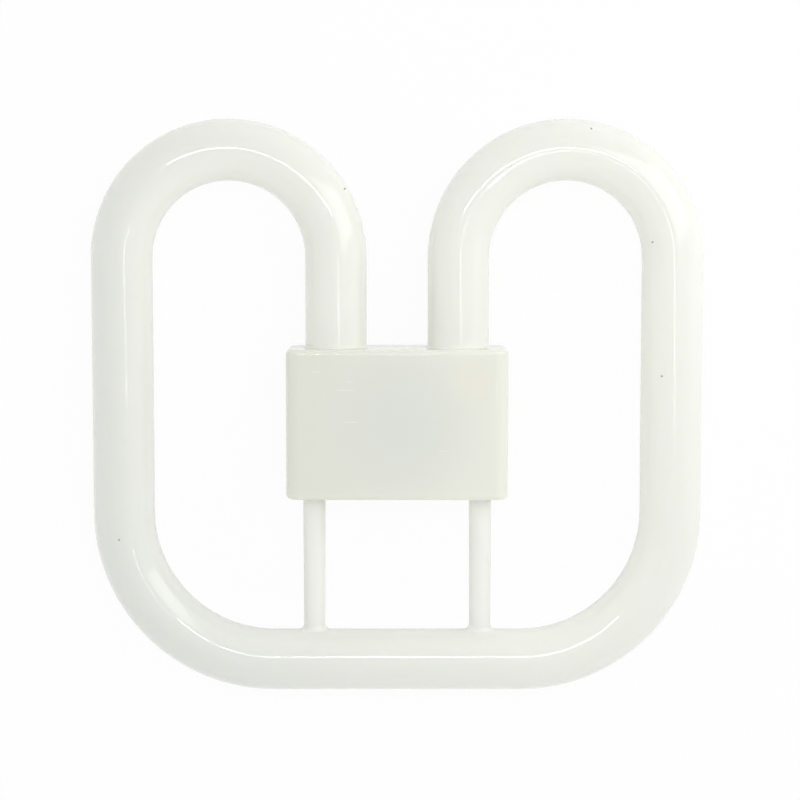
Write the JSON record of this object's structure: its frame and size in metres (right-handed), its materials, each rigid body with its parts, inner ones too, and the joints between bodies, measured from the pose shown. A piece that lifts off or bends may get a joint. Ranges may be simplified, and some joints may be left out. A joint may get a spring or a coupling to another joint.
{
  "type": "double-d led lamp",
  "caption": "Flat retrofit light source: a round opal tube bent into two D loops round a central block, tied by thin struts, with a pinned base cap behind.",
  "frame": {"origin": "middle of the base cap's rear face, which seats in the lamp holder", "axes": "+X to the right across both D loops, +Y towards the two arches, +Z out of the lit front; the lamp lies on its back with the cap's rim on the surface"},
  "size_m": [0.205, 0.1928, 0.0316],
  "materials": {
    "opal_front": "gloss",
    "opal_rear": "gloss",
    "cap_white": "satin",
    "pin_brass": "polished",
    "light_board_white": "satin",
    "light_chip": "satin",
    "tinned_wire": "satin",
    "driver_board_green": "satin",
    "screw_steel": "satin",
    "can_aluminium": "satin",
    "film_case": "gloss",
    "varistor_coat": "satin",
    "fuse_coat": "matte",
    "ferrite": "matte",
    "bobbin_black": "matte",
    "copper_winding": "satin",
    "black_package": "matte"
  },
  "bodies": {
    "root": {"front_diffuser": "opal_front", "rear_housing": "opal_rear", "base_cap": "cap_white", "contact_pin_1": "pin_brass", "contact_pin_2": "pin_brass", "contact_pin_3": "pin_brass", "contact_pin_4": "pin_brass", "light_board_arch_left": "light_board_white", "light_board_arch_right": "light_board_white", "light_board_leg_left": "light_board_white", "light_board_leg_right": "light_board_white", "light_board_bar": "light_board_white", "light_chips_arch_left": "light_chip", "light_chips_arch_right": "light_chip", "light_chips_leg_left": "light_chip", "light_chips_leg_right": "light_chip", "light_chips_bar": "light_chip", "board_links": "tinned_wire", "feed_links_left": "tinned_wire", "feed_links_right": "tinned_wire", "driver_board": "driver_board_green", "board_screws": "screw_steel", "bulk_capacitor": "can_aluminium", "output_capacitor": "can_aluminium", "film_capacitor": "film_case", "varistor": "varistor_coat", "fuse_resistor": "fuse_coat", "choke_core": "ferrite", "choke_bobbin": "bobbin_black", "choke_winding": "copper_winding", "bridge_rectifier": "black_package", "driver_ic": "black_package", "output_diode": "black_package", "sense_resistors": "black_package"}
  },
  "joints": []
}
